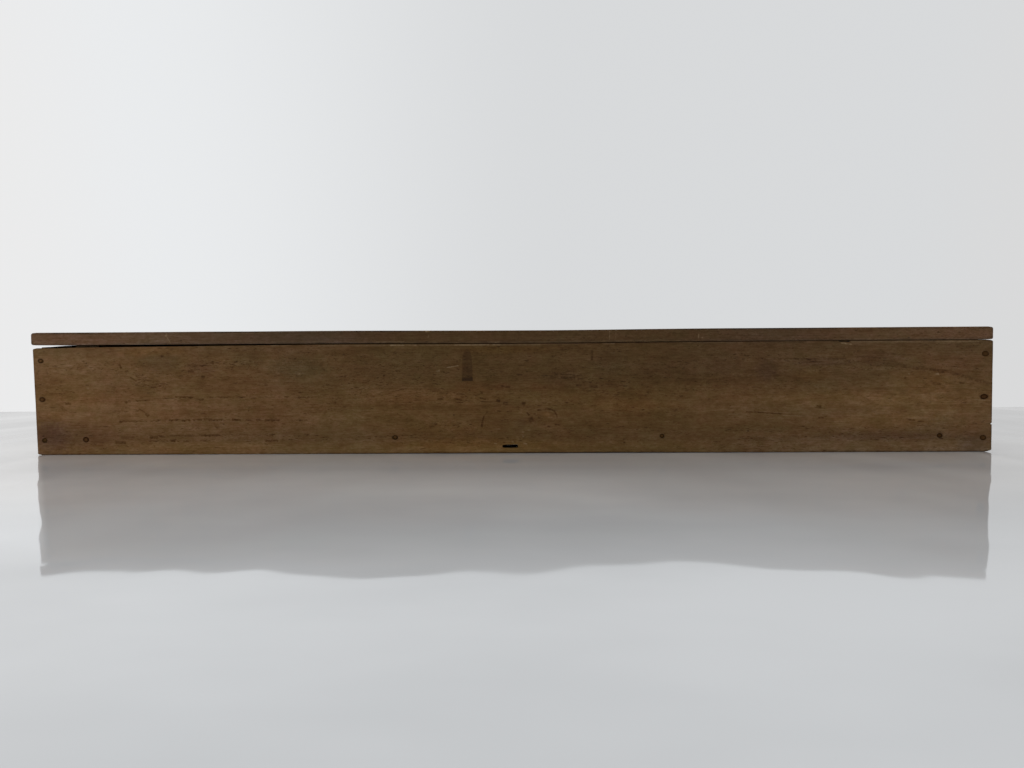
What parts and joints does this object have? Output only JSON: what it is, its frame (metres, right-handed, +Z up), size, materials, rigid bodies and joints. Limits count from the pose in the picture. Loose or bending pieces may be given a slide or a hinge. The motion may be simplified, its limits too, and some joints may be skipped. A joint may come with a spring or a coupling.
{
  "type": "hanging scroll box",
  "caption": "Long slim wooden box for one rolled hanging scroll, with a lift-off board lid, notched rests inside and peg-nailed corners.",
  "frame": {"origin": "centre of the overall box's footprint, on the surface the box stands on", "axes": "+X along the box towards the end where lid and box are flush, +Z up, +Y away from the side the picture shows"},
  "size_m": [0.6221, 0.0804, 0.0804],
  "materials": {
    "outer_boards": "satin",
    "inner_boards": "matte",
    "pegs": "satin"
  },
  "bodies": {
    "box": {"front_side_board": "outer_boards", "back_side_board": "outer_boards", "left_end_board": "outer_boards", "right_end_board": "outer_boards", "bottom_board": "inner_boards", "left_scroll_rest": "inner_boards", "right_scroll_rest": "inner_boards", "front_left_corner_peg_top": "pegs", "front_left_corner_peg_middle": "pegs", "front_left_corner_peg_low": "pegs", "front_right_corner_peg_top": "pegs", "front_right_corner_peg_middle": "pegs", "front_right_corner_peg_low": "pegs", "back_left_corner_peg_top": "pegs", "back_left_corner_peg_middle": "pegs", "back_left_corner_peg_low": "pegs", "back_right_corner_peg_top": "pegs", "back_right_corner_peg_middle": "pegs", "back_right_corner_peg_low": "pegs", "front_bottom_peg_1": "pegs", "front_bottom_peg_2": "pegs", "front_bottom_peg_3": "pegs", "front_bottom_peg_4": "pegs", "back_bottom_peg_1": "pegs", "back_bottom_peg_2": "pegs", "back_bottom_peg_3": "pegs", "back_bottom_peg_4": "pegs", "left_end_bottom_peg_1": "pegs", "left_end_bottom_peg_2": "pegs", "right_end_bottom_peg_1": "pegs", "right_end_bottom_peg_2": "pegs"},
    "lid": {"lid_board": "outer_boards", "lid_left_batten": "inner_boards", "lid_right_batten": "inner_boards", "lid_left_batten_peg_1": "pegs", "lid_left_batten_peg_2": "pegs", "lid_right_batten_peg_1": "pegs", "lid_right_batten_peg_2": "pegs"}
  },
  "joints": [
    {"name": "lid_lift", "type": "slide", "parent": "box", "child": "lid", "axis": [0, 0, 1], "range_m": [0, 0.1]}
  ]
}
